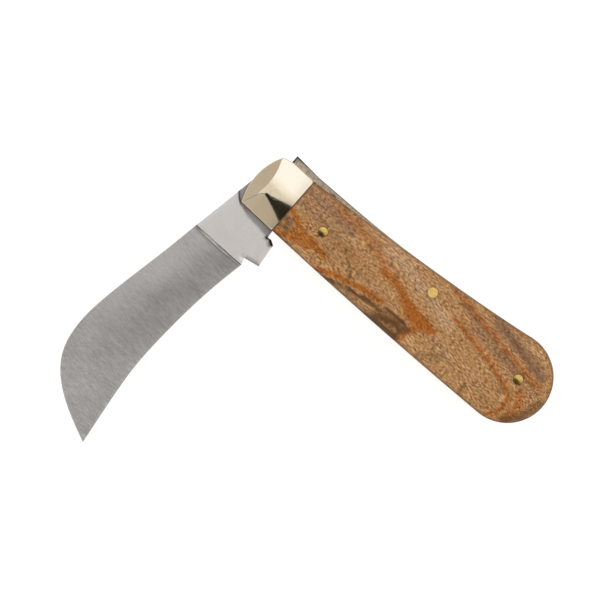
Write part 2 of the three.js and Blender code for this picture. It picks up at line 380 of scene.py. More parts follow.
def slab(xy, tris, low, high):
    """A closed solid between two heights over the same triangles."""
    n = len(xy)
    points = np.concatenate([np.column_stack([xy, high]), np.column_stack([xy, low])])
    faces = [tuple(t) for t in tris] + [(c + n, b + n, a + n) for a, b, c in tris]
    faces += [(b, a, a + n, b + n) for a, b in rim_edges(tris)]
    used = np.zeros(2 * n, bool)
    for face in faces:
        used[list(face)] = True
    number = np.cumsum(used) - 1
    return points[used], [tuple(number[list(face)]) for face in faces]


def on_side(points, faces, side):
    """Puts heights above the middle plane on the mark side (+1), or mirrored on the pile side (-1)."""
    placed = np.array(points)
    placed[:, 2] = MID + side * placed[:, 2]
    return placed, faces if side > 0 else [face[::-1] for face in faces]


def rounding(depth, radius):
    """How far an edge rounded by a quarter circle has dropped, at a depth inside the rim."""
    inner = np.clip(radius - depth, 0, radius)
    return radius - np.sqrt(np.maximum(radius ** 2 - inner ** 2, 0))


# The handle's surface

LOOP = handle_loop()
BELLY_LINE = np.concatenate([[(-16, -7.6)], bezier(BELLY, 80), [BELLY[3]]])
BACK_LINE = np.concatenate([handle_back(80), [BACK_WAIST, BOLSTER_BACK, (-16, 11.0)]])
BUTT_LINE = np.concatenate([[BELLY[3]], arc(BUTT_ARC, -math.pi / 2, BUTT_BACK_ANGLE, 60), BACK_LINE[:1]])


def crown_drop(depth):
    """How far the crowned surface has dropped at a depth inside the rim."""
    return CROWN_DROP * np.clip(1 - depth / CROWN_WIDTH, 0, 1) ** 2


def wood_top(xy):
    """The scale's height above the middle plane: a low crown across the handle and round the butt."""
    depth = np.minimum.reduce([distance(xy, line) for line in (BELLY_LINE, BACK_LINE, BUTT_LINE)])
    radius = WOOD_FRONT_ROUND + ROUND_GROWTH * np.clip((xy[:, 0] - JOINT_X) / ROUND_RUN, 0, 1)
    return SIDE_TOP - crown_drop(depth) - rounding(depth, radius)


def soft_max(a, b, width):
    """The larger of two values, with a round of some width where they are nearly equal."""
    overlap = np.maximum(width - np.abs(a - b), 0) / width
    return np.maximum(a, b) + overlap ** 2 * width / 4


def bolster_body(xy):
    """How far the bolster has dropped behind its bevelled front: a crown to the back, and a flatter slope to
    the belly. The fold between them is crisp in front of the apex and opens into a round behind it."""
    x, y = xy[:, 0], xy[:, 1]
    behind = x - FOLD_APEX[0]
    back = crown_drop(distance(xy, BACK_LINE))
    fold = FOLD_APEX[1] + FOLD_SLOPE_AHEAD * np.minimum(behind, 0) - FOLD_SLOPE_BEHIND * np.maximum(behind, 0)
    belly = BELLY_SLOPE * (fold - y)
    width = np.maximum(0.02, FOLD_ROUNDING * behind)
    return np.maximum(soft_max(back, belly, width), 0)


def ridge_x(y):
    """Where the ridge between the bevelled front and the rest of the bolster lies."""
    return np.interp(y, [p[1] for p in RIDGE], [p[0] for p in RIDGE])


def bolster_top(xy):
    """The bolster's height above the middle plane."""
    x, y = xy[:, 0], xy[:, 1]
    ridge = ridge_x(y)
    facet = bolster_body(np.column_stack([ridge, y])) + FACET_SLOPE * (ridge - x)
    drop = soft_max(bolster_body(xy), facet, RIDGE_ROUNDING)
    return SIDE_TOP - np.maximum(drop, 0) - rounding(distance(xy, LOOP, True), BOLSTER_ROUND)


def facet_rows():
    """Rows of points along the ridge and the fold, where the bolster's surface turns sharply."""
    ys = np.arange(-9, 10.2, 0.3)
    rows = [np.column_stack([ridge_x(ys) + shift, ys]) for shift in (-0.3, -0.12, -0.04, 0.04, 0.12, 0.3)]
    xs = np.arange(-4.2, FOLD_APEX[0], 0.1)
    fold = FOLD_APEX[1] + FOLD_SLOPE_AHEAD * (xs - FOLD_APEX[0])
    return rows + [np.column_stack([xs, fold + shift]) for shift in (-0.12, -0.05, -0.015, 0.015, 0.05, 0.12)]


def side_solid(name, loop, holes, top, rows, step, side, material):
    """A solid that stands on one side's liner, with its top at the heights that a function gives."""
    xy, tris = triangulate(loop, holes, rows, step, 0.45 * step + 0.9)
    points, faces = slab(xy, tris, np.full(len(xy), SIDE_BASE), top(xy))
    points, faces = on_side(points, faces, side)
    return mesh_object(name, points, faces, [material], "handle", sharp=40)


def scale(side, word, material):
    """A wooden scale, from the bolster to the butt."""
    loop = clip(LOOP, 1)
    rows = inset_rings(loop, WOOD_ROWS)
    piece = side_solid(f"{word}_wood_scale", loop, pin_holes(PINS), wood_top, rows, 0.8, side, material)
    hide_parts(f"{word}_scale")
    return piece


def bolster(side, word, material):
    """A bolster, from the handle's front end to the wood."""
    loop = clip(LOOP, -1)
    rows = inset_rings(loop, BOLSTER_ROWS)
    rows += trimmed(facet_rows(), loop, 0.06)
    holes = [(PIVOT, PIVOT_RADIUS + 0.01)]
    piece = side_solid(f"{word}_metal_bolster", loop, holes, bolster_top, rows, 0.45, side, material)
    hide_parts(f"{word}_bolster")
    return piece


def liner(side, word, material):
    """A brass liner between the blade's slot and one side's bolster and scale."""
    loop = fill_gaps(LOOP, LONGEST_STEP)
    holes = [(PIVOT, PIVOT_RADIUS + PIN_PLAY)] + pin_holes(PINS)
    xy, tris = triangulate(loop, holes, inset_rings(loop, [LINER_ROUND]), 3.0, 1.0)
    soft = rounding(distance(xy, loop, True), LINER_ROUND)
    points, faces = slab(xy, tris, LINER_BASE + soft, SIDE_BASE - soft)
    points, faces = on_side(points, faces, side)
    piece = mesh_object(f"{word}_brass_liner", points, faces, [material], "handle")
    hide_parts(f"{word}_liner")


# The blade

def distance_along(points):
    """How far along a row of points each one lies."""
    return np.concatenate([[0], np.cumsum(np.linalg.norm(np.diff(points, axis=0), axis=1))])


def resampled(at, places, points):
    """A row of points known at some places, at other places."""
    return np.column_stack([np.interp(at, places, points[:, k]) for k in range(2)])


def even_curve(curves, steps):
    """Points along two joined curves, evenly spaced on each."""
    rows = []
    for pulls in curves:
        dense = np.concatenate([bezier(pulls, 400), [pulls[3]]])
        run = distance_along(dense)
        even = resampled(np.linspace(0, run[-1], steps + 1), run, dense)
        rows.append(even if not rows else even[1:])
    return np.concatenate(rows)


def ricasso_loop(plunge):
    """The tang and ricasso's outline with the blade open, along the plunge line given, spine end first."""
    half_angle = math.acos(FLAT_DISTANCE / CAM_RADIUS)
    closed_normal = math.pi / 2 - CLOSED_TURN
    notch = turned([(FLAT_DISTANCE, -NOTCH_ALONG)], closed_normal)[0]
    flat_start = turned([(FLAT_DISTANCE, -NOTCH_ALONG + 0.6)], closed_normal)[0]
    flat_end = turned([(FLAT_DISTANCE, CAM_RADIUS * math.sin(half_angle))], closed_normal)[0]
    return np.concatenate([
        plunge,
        straight(HEEL, KICK[0], 5)[1:],
        *[straight(a, b, steps) for a, b, steps in zip(KICK, [*KICK[1:], notch], (12, 16, 4, 4))],
        straight(notch, flat_start, 3),
        straight(flat_start, flat_end, 30),
        arc((0, 0, CAM_RADIUS), closed_normal + half_angle, math.pi / 2 - half_angle, 40),
        straight((FLAT_DISTANCE * math.tan(half_angle), FLAT_DISTANCE), (SHOULDER_X, FLAT_DISTANCE), 16),
        straight((SHOULDER_X, FLAT_DISTANCE), (SHOULDER_X, SPINE_HEIGHT), 5),
        straight((SHOULDER_X, SPINE_HEIGHT), PLUNGE_TOP, 48),
    ])


def ease(share):
    """0 up to a share of 0 and 1 from a share of 1, eased at both ends."""
    share = np.clip(share, 0, 1)
    return share * share * (3 - 2 * share)


def tang_shade(xy):
    """Painted shade on the tang: a grey band beside the bolster, a dark line where it comes out of the handle
    with the blade half open, and dark spots at the spine and in the corner by the kick."""
    behind = xy[:, 0] - tang_step(xy[:, 1])
    spineward = ease((xy[:, 1] + 8) / 12)
    kickward = ease((-4 - xy[:, 1]) / 5)
    strength = 0.46 + 0.16 * kickward + 0.2 * spineward * np.exp(-np.maximum(behind, 0) / 1.2)
    band = ease((behind + 0.4) / 0.9) * strength
    from_crescent = np.maximum(behind - 0.3, -behind * 2) / 0.4
    crescent = TANG_SHADE_DEPTH * np.exp(-from_crescent ** 2) * ease((xy[:, 1] - 2.2) / 2)
    from_handle = distance(turned(xy, REST_TURN), LOOP, True)
    line = TANG_SHADE_DEPTH * np.exp(-(from_handle / HANDLE_LINE_WIDTH) ** 2) * (behind > 0)
    corner = np.exp(-(distance(xy, SHADOWED_CORNER) / CORNER_WIDTH) ** 4)
    return np.maximum.reduce([band, crescent, line, corner])


def tang_step(y):
    """Where the polished ricasso drops to the tang, as x for each y."""
    line = smooth_line(TANG_STEP, 8)
    return np.interp(y, line[:, 1], line[:, 0])


def blade_columns():
    """Matching points on the edge and the spine, closest together beside the plunge line, and the blade's
    width and the distance from the plunge line at each."""
    spine, edge = even_curve(SPINE_CURVES, BLADE_STEPS), even_curve(EDGE_CURVES, BLADE_STEPS)
    near = np.array([0, 0.12, 0.25, 0.4, 0.6, 0.85, 1.15, 1.5]) / distance_along((spine + edge) / 2)[1]
    at = np.concatenate([near, np.arange(math.ceil(near[-1] + 0.3), 2 * BLADE_STEPS + 1)])
    take = np.arange(2 * BLADE_STEPS + 1)
    width = np.interp(at, take, np.linalg.norm(spine - edge, axis=1))
    spine, edge = resampled(at, take, spine), resampled(at, take, edge)
    return edge, spine, width, distance_along((spine + edge) / 2)


def ground_section(width, run):
    """Each column's rows of points, as depths from the edge, and half the blade's thickness there: a fine
    bevel at the edge, a face that thickens evenly, and a chamfered spine."""
    bevel, chamfer = np.minimum(BEVEL_WIDTH, 0.2 * width), np.minimum(CHAMFER_WIDTH, 0.2 * width)
    rows = [np.zeros(len(width)), bevel * 0.5, bevel]
    rows += [bevel + (width - bevel - chamfer) * share for share in np.linspace(0, 1, 15)[1:]]
    rows += [width - chamfer * 0.6, width]
    depth = np.stack(rows, 1)
    at_spine = SPINE_HALF - POINT_THINNING * (run / run[-1]) ** 1.5
    at_spine = np.minimum(at_spine, BEVEL_HALF + GRIND_SLOPE * width)
    at_spine, width, bevel, chamfer = (values[:, None] for values in (at_spine, width, bevel, chamfer))
    half = BEVEL_HALF + (at_spine - BEVEL_HALF) * np.clip((depth - bevel) / (width - bevel - chamfer), 0, 1)
    half = np.where(depth < bevel, EDGE_HALF + (BEVEL_HALF - EDGE_HALF) * depth / bevel, half)
    return depth, half - CHAMFER_DROP * np.clip((depth - (width - chamfer)) / chamfer, 0, 1) ** 1.3


def ground_faces(columns, lines):
    """Faces over both sides of the ground blade, along its edge and spine, and across its point."""
    n = columns * lines
    faces = []
    for i in range(columns - 1):
        for j in range(lines - 1):
            a, b = i * lines + j, (i + 1) * lines + j
            faces.append((a, a + 1, b + 1, b))
            faces.append((a + n, b + n, b + 1 + n, a + 1 + n))
        a, b = i * lines, (i + 1) * lines
        faces.append((a, b, b + n, a + n))
        a, b = a + lines - 1, b + lines - 1
        faces.append((a + n, b + n, b, a))
    last = (columns - 1) * lines
    return faces + [(last + j, last + j + 1, last + j + 1 + n, last + j + n) for j in range(lines - 1)]


def ricasso_half(xy, outline):
    """Half the thickness of the ricasso and tang: a small step down to the tang, and rounded edges."""
    step = ease((xy[:, 0] - tang_step(xy[:, 1])) / TANG_STEP_RUN)
    return TANG_HALF - TANG_STEP_DROP * step - rounding(distance(xy, outline), RICASSO_ROUND)


def ricasso_solid(loop, outline, plunge):
    """The ricasso and tang, open along the plunge line, where the ground blade joins them."""
    ys = np.arange(-11.8, 7.2, 0.24)
    rows = [np.column_stack([tang_step(ys) + shift, ys]) for shift in np.arange(-0.6, 4.0, 0.2)]
    rows = trimmed(rows, loop, 0.1)
    rings = inset_rings(fill_gaps(outline, 0.5), RICASSO_ROWS)
    rings = [points[inside(points, loop)] for points in rings]
    rings = [points[distance(points, plunge) > 0.3] for points in rings]
    xy, tris = triangulate(loop, [(PIVOT, PIVOT_RADIUS + 0.08)], rings + rows, 1.6, 0.7)
    half = ricasso_half(xy, outline)
    points, faces = slab(xy, tris, -half, half)
    on_seam = distance(points[:, :2], plunge) < 0.001
    return points, [face for face in faces if not (len(face) == 4 and on_seam[list(face)].all())]


def paint_blade(piece, flat, share, run, tang_xy):
    """Stores places along and across the blade, the painted shade of the ground face and the plunge line, and
    the tang's painted shade. The ground points, front and rear, come before the tang's."""
    from_plunge = np.broadcast_to(run[:, None], share.shape).ravel()
    share = share.ravel()
    wheel = turned(flat.reshape(-1, 2), -GRINDING_TURN)
    # Painted shade on the ground face: a darker band along the cutting edge, darker towards the point and
    # beside the plunge line
    edge_band_shade = np.exp(-((share - 0.28) / 0.34) ** 2) * ease((58 - from_plunge) / 34)
    near_plunge = 0.3 * np.exp(-(from_plunge / 7) ** 2)
    painted = {
        "along": -wheel[:, 0],
        "across": wheel[:, 1],
        "shade": np.clip(0.08 + 0.62 * ease(from_plunge / 62) + near_plunge + 0.85 * edge_band_shade, 0, 1),
        # Painted shade: a dark line along the plunge line, where its wall faces away from the light
        "plunge": np.exp(-((from_plunge - 0.12) / 0.22) ** 2) * (0.95 - 0.5 * share),
    }
    for name, values in painted.items():
        paint(piece, name, np.concatenate([values, values, np.zeros(len(tang_xy))]))
    # The tang's painted shade.
    paint(piece, "tang_painted_shade", np.concatenate([np.zeros(2 * len(share)), tang_shade(tang_xy)]))


def blade(ground, polished):
    """The blade in one mesh, with its two finishes: it is made open and then turned to its rest place."""
    edge, spine, width, run = blade_columns()
    depth, half = ground_section(width, run)
    share = depth / width[:, None]
    flat = edge[:, None] * (1 - share[..., None]) + spine[:, None] * share[..., None]
    plunge = flat[0][::-1]
    loop = ricasso_loop(plunge)
    outline = np.concatenate([loop[len(plunge) - 1:], plunge[:1]])
    blend = 1 - np.exp(-(run / PLUNGE_RUN) ** 2)[:, None]
    half = ricasso_half(flat[0], outline)[None] * (1 - blend) + half * blend

    tang_points, tang_faces = ricasso_solid(loop, outline, plunge)
    sides = [np.dstack([flat, half]).reshape(-1, 3), np.dstack([flat, -half]).reshape(-1, 3)]
    points = np.concatenate(sides + [tang_points])
    points[:, :2] = turned(points[:, :2], REST_TURN)
    points[:, 2] += MID
    faces = ground_faces(*half.shape)
    finish = [0] * len(faces) + [1] * len(tang_faces)
    faces += [tuple(i + 2 * half.size for i in face) for face in tang_faces]

    piece = mesh_object("hawkbill_blade", points, faces, [ground, polished], None, face_material=finish)
    paint_blade(piece, flat, share, run, tang_points[:, :2])
    weld(piece, math.radians(24))
    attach(piece, "blade")
    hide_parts("blade")


def weld(piece, sharp):
    """Joins points that lie on each other, turns every face outwards, and marks the edges that are sharper
    than an angle or lie between two materials."""
    work = bmesh.new()
    work.from_mesh(piece.data)
    bmesh.ops.remove_doubles(work, verts=work.verts, dist=0.002 * MM)
    bmesh.ops.recalc_face_normals(work, faces=work.faces)
    for edge in work.edges:
        finishes = {face.material_index for face in edge.link_faces}
        edge.smooth = len(finishes) == 1 and edge.calc_face_angle(0) < sharp
    work.to_mesh(piece.data)
    work.free()


# The back spring

def flush_spring_loop():
    """The spring's outline while its nose is flush with the handle's back."""
    tail = math.asin((TAIL_UNDERSIDE - BUTT_ARC[1]) / BUTT_ARC[2])
    nose, relief = NOSE_UNDERSIDE, RELIEF_UNDERSIDE
    under = [
        [(PAD_END - 0.5, nose), (PAD_END, nose), (PAD_END, relief), (PAD_END + 1.4, relief)],
        [(PAD_END + 1.4, relief), (28, relief + 0.1), (38, relief - 0.4), (43, 7.4)],
        [(43, 7.4), (48, 6.4), (49, BOSS_UNDERSIDE), (54, BOSS_UNDERSIDE)],
        [(54, BOSS_UNDERSIDE), (61, BOSS_UNDERSIDE), (76, 5.2), (83, 1.4)],
        [(83, 1.4), (85, 0.2), (86, TAIL_UNDERSIDE), (89, TAIL_UNDERSIDE)],
    ]
    tail_end = (BUTT_ARC[0] + BUTT_ARC[2] * math.cos(tail), TAIL_UNDERSIDE)
    return np.concatenate([
        arc(BUTT_ARC, tail, BUTT_BACK_ANGLE, 48),
        handle_back(120),
        straight(BACK_WAIST, BOLSTER_BACK, 14),
        straight(BOLSTER_BACK, (NOSE_X, BOLSTER_BACK[1]), 2),
        straight((NOSE_X, BOLSTER_BACK[1]), (NOSE_X, NOSE_UNDERSIDE), 9),
        straight((NOSE_X, NOSE_UNDERSIDE), under[0][0], 24),
        *[bezier(pulls, steps) for pulls, steps in zip(under, (10, 30, 20, 34, 12))],
        straight((89, TAIL_UNDERSIDE), tail_end, 14),
    ])


def raised(points):
    """Turns points of the flush spring up about the middle pin, by more the nearer they are to the nose."""
    share = ease((BEND_START - points[:, 0]) / (BEND_START - BEND_END))
    return turned(points, -SPRING_LIFT * share, MIDDLE_PIN)


def back_spring(material):
    """The leaf spring between the liners, bent up by the blade's cam."""
    loop = raised(flush_spring_loop())
    holes = pin_holes((MIDDLE_PIN, BUTT_PIN))
    xy, tris = triangulate(loop, holes, inset_rings(loop, SPRING_ROWS), 1.5, 1.4)
    half = SPRING_HALF - rounding(distance(xy, loop, True), SPRING_ROUND)
    points, faces = slab(xy, tris, MID - half, MID + half)
    piece = mesh_object("steel_back_spring", points, faces, [material])
    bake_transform(piece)
    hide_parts("back_spring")
    return piece


# Pins

def pin(name, at, radius, ends, dome, material, nodes, surface):
    """A pin whose ends follow the handle's surface, each with a slight dome. An end given as None is domed;
    a number is a flat end, that far out from the middle plane."""
    rings = [ring(at, radius * share, 48) for share in (0.25, 0.5, 0.7, 0.84, 0.93, 0.98)]
    xy, tris = triangulate(ring(at, radius, 48), [], [np.array([at])] + rings, 50.0, 50.0)
    depth = radius - np.linalg.norm(xy - at, axis=1)
    crown = surface(xy) - dome * (1 - depth / radius) ** DOME_POWER - rounding(depth, PIN_ROUND)
    low, high = (crown if end is None else np.full(len(xy), end) for end in ends)
    points, faces = slab(xy, tris, -low, high)
    points[:, 2] += MID
    piece = mesh_object(name, points, faces, [material], "handle", sharp=30)
    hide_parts(*nodes)
    return piece


# Materials

def srgb(red, green, blue):
    """A colour given in 8-bit display values, as the linear colour that shaders take."""
    def linear(v):
        v /= 255
        return v / 12.92 if v <= 0.04045 else ((v + 0.055) / 1.055) ** 2.4
    return linear(red), linear(green), linear(blue), 1.0


class Nodes:
    """The node tree of a material or world, with a short way to add and link nodes."""

    def __init__(self, owner):
        owner.use_nodes = True
        self.tree = owner.node_tree

    def add(self, kind, inputs=None, **settings):
        """A new node, whose inputs are given as values or as other nodes' outputs."""
        node = self.tree.nodes.new("ShaderNode" + kind)
        for key, value in settings.items():
            setattr(node, key, value)
        for key, value in (inputs or {}).items():
            if isinstance(value, bpy.types.NodeSocket):
                self.tree.links.new(value, node.inputs[key])
            else:
                node.inputs[key].default_value = value
        return node

    def math(self, operation, a, b=0.0, c=0.0):
        """One step of arithmetic on values or outputs."""
        return self.add("Math", {0: a, 1: b, 2: c}, operation=operation).outputs[0]

    def vary(self, base, noise, amount):
        """A base moved up and down by a noise that lies around 0.5."""
        return self.math("MULTIPLY_ADD", self.math("SUBTRACT", noise, 0.5), amount, base)

    def weighed(self, a, share, b):
        """The sum of a share of one value and the rest of another."""
        return self.math("ADD", self.math("MULTIPLY", a, share), self.math("MULTIPLY", b, 1 - share))

    def ramp(self, value, *stops):
        """Colours at places from 0 to 1."""
        node = self.add("ValToRGB", {"Fac": value})
        elements = node.color_ramp.elements
        while len(elements) < len(stops):
            elements.new(0.5)
        for element, (place, color) in zip(elements, stops):
            element.position = place
            element.color = color
        return node.outputs["Color"]

    def level(self, value, low, high, to_low=0.0, to_high=1.0):
        """A value mapped from low..high to a new range, eased at both ends."""
        made = {"Value": value, "From Min": low, "From Max": high, "To Min": to_low, "To Max": to_high}
        return self.add("MapRange", made, interpolation_type="SMOOTHSTEP").outputs[0]

    def mix(self, share, a, b):
        """Colour a where the share is 0, and colour b where it is 1."""
        return self.add("Mix", {0: share, 6: a, 7: b}, data_type="RGBA").outputs[2]


class Finish(Nodes):
    """A new material. Sockets of its shader that are the same all over are given by name."""

    def __init__(self, name, **sockets):
        self.material = bpy.data.materials.new(name)
        super().__init__(self.material)
        self.shader = self.tree.nodes["Principled BSDF"]
        for socket, value in sockets.items():
            self.shader.inputs[socket.replace("_", " ")].default_value = value

    def coords(self, stretch=1, turn=0.0):
        """Object coordinates in millimetres, turned about Z and then stretched, by one number or by three."""
        place = self.add("TexCoord").outputs["Object"]
        made = {"Vector": place, "Rotation": (0, 0, turn), "Scale": (1000,) * 3}
        place = self.add("Mapping", made).outputs[0]
        stretch = stretch if isinstance(stretch, tuple) else (stretch,) * 3
        return self.add("Mapping", {"Vector": place, "Scale": stretch}).outputs[0]

    def noise(self, place, detail=2.0, roughness=0.5, bend=0.0):
        """Noise from 0 to 1, with one cell per unit of its coordinates."""
        made = {"Vector": place, "Scale": 1, "Detail": detail, "Roughness": roughness, "Distortion": bend}
        return self.add("TexNoise", made).outputs[0]

    def attribute(self, name):
        """The number stored for each point under a name."""
        return self.add("Attribute", attribute_name=name).outputs["Fac"]

    def flat(self):
        """1 on faces that lie flat and 0 on the sides that stand upright."""
        normal = self.add("NewGeometry").outputs["Normal"]
        upward = self.add("SeparateXYZ", {0: normal}).outputs["Z"]
        return self.level(self.math("ABSOLUTE", upward), 0.05, 0.5)

    def edge(self, name):
        """Painted shade along an edge, kept off the upright sides."""
        return self.math("MULTIPLY", self.attribute(name), self.flat())

    def made(self, color, roughness, height, strength, depth):
        """The material, with its colour, roughness and bump linked. The bump's depth is in millimetres."""
        bump = self.add("Bump", {"Height": height, "Strength": strength, "Distance": depth * MM}).outputs[0]
        for output, socket in ((color, "Base Color"), (roughness, "Roughness"), (bump, "Normal")):
            self.tree.links.new(output, self.shader.inputs[socket])
        return self.material


def paint(piece, name, values):
    """Stores one number per point for a material to read."""
    attribute = piece.data.attributes.new(name, "FLOAT", "POINT")
    attribute.data.foreach_set("value", np.asarray(values, np.float32))


def points_of(piece):
    """The x and y of a mesh's points in millimetres, in the row frame."""
    flat = np.zeros(len(piece.data.vertices) * 3)
    piece.data.vertices.foreach_get("co", flat)
    return flat.reshape(-1, 3)[:, :2] / MM


def ground_steel():
    """Blade steel left from the grinding wheel: shallow ridges and scratches across the blade, and painted
    shade that darkens a band along the cutting edge, the point, and the face beside the plunge line."""
    n = Finish("ground_blade_steel", Metallic=1.0)
    along, across = n.attribute("along"), n.attribute("across")

    def across_blade(per_mm_along, per_mm_across):
        made = {"X": n.math("MULTIPLY", along, per_mm_along), "Y": n.math("MULTIPLY", across, per_mm_across)}
        return n.add("CombineXYZ", made).outputs[0]

    ridges = n.noise(across_blade(0.85, 0.16), 1.0)
    lines = n.noise(across_blade(2.7, 0.42), 2.0, 0.6)
    grit = n.noise(n.coords(2.4), 2.0, 0.7)
    cloud = n.noise(n.coords(0.09))
    # The painted shade darkens the ground face and strengthens its ridges
    shade = n.attribute("shade")
    tone = n.vary(shade, cloud, 0.6)
    tone = n.vary(tone, ridges, n.math("MULTIPLY_ADD", shade, 0.9, 0.1))
    tone = n.vary(n.vary(tone, lines, 1.7), grit, 1.3)
    color = n.ramp(n.level(tone, -0.8, 1.8), (0.0, srgb(238, 236, 236)), (1.0, srgb(162, 160, 159)))
    # Painted shade: the plunge line darkened to a near-black brown
    color = n.mix(n.attribute("plunge"), color, srgb(70, 66, 62))
    return n.made(color, n.level(lines, 0.3, 0.7, 0.34, 0.44), n.math("ADD", lines, ridges), 0.2, 0.02)


def ricasso_steel():
    """Glazed blade steel: nearly smooth, with faint polishing lines, and painted shade on the tang that is
    darker and rougher.
    """
    n = Finish("glazed_blade_steel", Metallic=1.0)
    lines = n.noise(n.coords((0.15, 3.2, 1.0), math.radians(38)), 3.0, 0.6)
    cloud = n.noise(n.coords(0.3), 3.0)
    color = n.ramp(n.weighed(lines, 0.5, cloud), (0.35, srgb(240, 239, 241)), (0.65, srgb(247, 246, 248)))
    # Painted shade: the tang darkened where the bolster and the handle shade it
    tang_painted_shade = n.attribute("tang_painted_shade")
    color = n.mix(n.math("MULTIPLY", tang_painted_shade, n.vary(1.0, cloud, 0.6)), color, srgb(40, 31, 24))
    return n.made(color, n.level(n.math("ADD", lines, tang_painted_shade), 0.35, 1.3, 0.2, 0.5), lines, 0.05, 0.01)


def spring_steel():
    """Spring steel, filed along its length, with painted shade on its edges."""
    n = Finish("filed_spring_steel", Metallic=1.0)
    along = n.noise(n.coords((3.4, 0.6, 0.6)), 3.0, 0.6)
    tone = n.weighed(along, 0.55, n.noise(n.coords(2.6)))
    color = n.ramp(tone, (0.34, srgb(112, 98, 84)), (0.50, srgb(196, 182, 164)), (0.64, srgb(232, 222, 208)))
    color = n.mix(n.math("MULTIPLY_ADD", n.flat(), -0.7, 0.7), color, srgb(204, 194, 180))
    # Painted shade: near-black edges where the rounding and the bolster's shadow darken the spring
    color = n.mix(n.level(n.edge("shade"), 0.1, 0.8), color, srgb(40, 32, 26))
    return n.made(color, n.level(tone, 0.3, 0.7, 0.28, 0.5), tone, 0.4, 0.02)


def nickel_silver():
    """Buffed nickel silver: a warm mirror with hair-fine swirls, and painted brown shade along the rim."""
    n = Finish("buffed_nickel_silver", Metallic=1.0)
    hair = n.noise(n.coords((0.12, 5.0, 5.0), math.radians(25)), 3.0, 0.6, 0.4)
    tone = n.weighed(hair, 0.4, n.noise(n.coords(0.22)))
    color = n.ramp(tone, (0.35, srgb(248, 238, 214)), (0.62, srgb(252, 242, 222)))
    # Painted shade: a brown line along the bolster's rim and a faint darkening beside the wood
    color = n.mix(n.edge("rim"), color, srgb(140, 100, 58))
    return n.made(color, n.level(tone, 0.3, 0.7, 0.07, 0.13), hair, 0.04, 0.01)


def brass():
    """Brass, filed flush and buffed by hand."""
    n = Finish("buffed_brass", Metallic=1.0)
    file_marks = n.noise(n.coords((0.5, 6.0, 6.0), math.radians(-20)), 3.0, 0.6)
    tone = n.weighed(file_marks, 0.5, n.noise(n.coords(0.6), 3.0))
    color = n.ramp(tone, (0.32, srgb(196, 160, 88)), (0.66, srgb(226, 192, 116)))
    return n.made(color, n.level(tone, 0.3, 0.7, 0.14, 0.28), file_marks, 0.1, 0.01)


GRAIN_TURN = math.radians(5.5)
GRAIN_SWAY = 2.6
FIGURE_COLORS = {"pale": srgb(255, 214, 168), "grey": srgb(188, 148, 112), "orange": srgb(218, 122, 24),
                 "dark": srgb(88, 62, 30)}


def handle_wood():
    """Oiled open-pored hardwood: fibres and dark pore dashes along the grain, with painted orange and dark
    figure broken up by the fibres, and painted shade on the edges, beside the bolster and round the pins."""
    n = Finish("oiled_handle_wood", Specular_IOR_Level=0.35)
    sway = n.noise(n.coords((0.05, 0.12, 0.12), GRAIN_TURN))
    bent = n.add("CombineXYZ", {"Y": n.math("MULTIPLY", sway, GRAIN_SWAY)}).outputs[0]
    grain = n.add("VectorMath", {0: n.coords(1, GRAIN_TURN), 1: bent}, operation="ADD").outputs[0]

    def stretched(x, y, shift=0.0):
        made = {"Vector": grain, "Scale": (x, y, y), "Location": (shift, shift, shift)}
        return n.add("Mapping", made).outputs[0]

    fibre = n.noise(stretched(0.11, 1.0), 4.0, 0.62)
    fine = n.noise(stretched(1.0, 4.4, 11), 2.0, 0.62)
    broad = n.noise(stretched(0.05, 0.22, 37))
    cells = n.add("TexVoronoi", {"Vector": stretched(0.62, 3.2, 5), "Scale": 1.0})
    strength = n.add("SeparateColor", {0: cells.outputs["Color"]}).outputs[0]
    in_cell = n.level(cells.outputs["Distance"], 0.44, 0.16)
    pores = n.math("MULTIPLY", in_cell, n.level(strength, 0.0, 0.9, 0.25, 1.0))
    color = n.ramp(n.weighed(fibre, 0.5, broad),
                   (0.36, srgb(212, 156, 96)), (0.50, srgb(240, 184, 120)), (0.64, srgb(255, 210, 150)))
    frayed = n.vary(n.vary(0.0, fibre, 1.5), fine, 0.6)
    for name, tint in FIGURE_COLORS.items():
        painted = n.attribute(name)
        share = n.level(n.math("MULTIPLY_ADD", frayed, painted, painted), 0.0, 1.15)
        color = n.mix(share, color, tint)
    color = n.mix(n.level(fine, 0.36, 0.64, 0.0, 0.9), color, srgb(120, 72, 26))
    color = n.mix(n.math("MULTIPLY", pores, 0.85), color, srgb(50, 28, 8))
    # Painted shade: near-black brown on the rounded edges, beside the bolster and round the pins
    color = n.mix(n.level(n.edge("rim"), 0.1, 1.0, 0.0, 0.92), color, srgb(44, 27, 12))
    roughness = n.level(n.math("ADD", fine, pores), 0.2, 1.4, 0.42, 0.66)
    return n.made(color, roughness, n.math("SUBTRACT", n.math("MULTIPLY", fibre, 0.5), pores), 0.5, 0.05)


